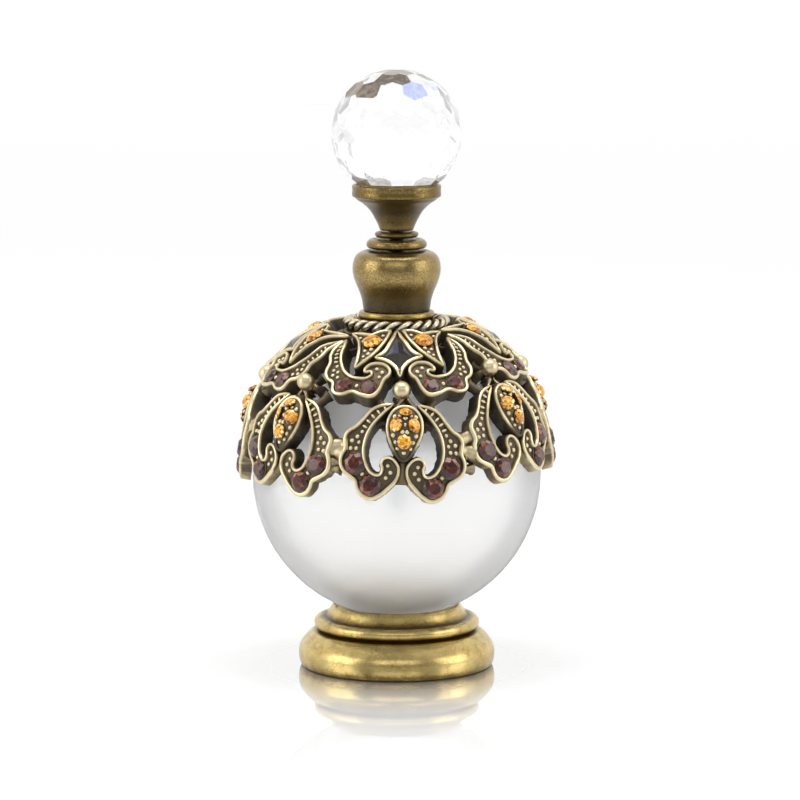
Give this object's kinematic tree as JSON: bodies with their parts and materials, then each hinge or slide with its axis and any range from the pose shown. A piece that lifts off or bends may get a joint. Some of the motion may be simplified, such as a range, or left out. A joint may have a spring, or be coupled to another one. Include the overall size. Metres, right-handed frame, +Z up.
{
  "type": "stoppered perfume bottle",
  "caption": "Round frosted glass perfume bottle on a turned brass foot, with a jewelled openwork shoulder and a crystal-topped screw stopper carrying a glass applicator rod.",
  "frame": {"origin": "centre of the foot's underside, on the bottle's axis", "axes": "+Z up along the bottle's axis, -Y towards the front, where one lower casting and one star face"},
  "size_m": [0.0634, 0.0628, 0.1163],
  "materials": {
    "antique_brass": "dark antique, finely speckled satin",
    "golden_brass": "worn, brushed satin with dark grooves",
    "cast_brass": "pale antique rims over near-black patina in the recesses",
    "frosted_glass": "acid-frosted outside",
    "crystal": "clear, cut and polished facets",
    "rod_glass": "clear, fire polished",
    "smoky_stone": "smoky faceted",
    "brown_stone": "dark reddish brown faceted",
    "amber_stone": "bright amber faceted",
    "liner_plastic": "natural moulded",
    "seal_foam": "soft closed-cell",
    "felt": "dark felt"
  },
  "bodies": {
    "bottle": {"glass_bottle": "frosted_glass", "neck_collar": "golden_brass", "rope_ring": "cast_brass", "base_foot": "golden_brass", "base_pad": "felt", "lower_scrolls_1": "cast_brass", "lower_scrolls_2": "cast_brass", "lower_scrolls_3": "cast_brass", "lower_scrolls_4": "cast_brass", "lower_scrolls_5": "cast_brass", "lower_scrolls_6": "cast_brass", "lower_scrolls_7": "cast_brass", "brown_stone_1a": "brown_stone", "brown_stone_1b": "brown_stone", "brown_stone_1c": "brown_stone", "brown_stone_1d": "brown_stone", "brown_stone_2a": "brown_stone", "brown_stone_2b": "brown_stone", "brown_stone_2c": "brown_stone", "brown_stone_2d": "brown_stone", "brown_stone_3a": "brown_stone", "brown_stone_3b": "brown_stone", "brown_stone_3c": "brown_stone", "brown_stone_3d": "brown_stone", "brown_stone_4a": "brown_stone", "brown_stone_4b": "brown_stone", "brown_stone_4c": "brown_stone", "brown_stone_4d": "brown_stone", "brown_stone_5a": "brown_stone", "brown_stone_5b": "brown_stone", "brown_stone_5c": "brown_stone", "brown_stone_5d": "brown_stone", "brown_stone_6a": "brown_stone", "brown_stone_6b": "brown_stone", "brown_stone_6c": "brown_stone", "brown_stone_6d": "brown_stone", "brown_stone_7a": "brown_stone", "brown_stone_7b": "brown_stone", "brown_stone_7c": "brown_stone", "brown_stone_7d": "brown_stone", "upper_scrolls_1": "cast_brass", "upper_scrolls_2": "cast_brass", "upper_scrolls_3": "cast_brass", "upper_scrolls_4": "cast_brass", "star_stone_1": "smoky_stone", "star_stone_2": "smoky_stone", "star_stone_3": "smoky_stone", "star_stone_4": "smoky_stone"},
    "applicator": {"rod_plug": "liner_plastic", "seal_washer": "seal_foam", "glass_rod": "rod_glass"},
    "cap": {"crystal_ball": "crystal", "ball_cup": "antique_brass", "small_ring": "antique_brass", "large_ring": "antique_brass", "cap_urn": "antique_brass", "cap_stud": "antique_brass", "cap_liner": "liner_plastic"}
  },
  "joints": [
    {"name": "stopper_lift", "type": "slide", "parent": "bottle", "child": "applicator", "axis": [0, 0, 1], "range_m": [0, 0.055]},
    {"name": "cap_turn", "type": "hinge", "parent": "applicator", "child": "cap", "pos_m": [0, 0, 0.077], "axis": [0, 0, 1], "range_deg": [0, 540]}
  ]
}
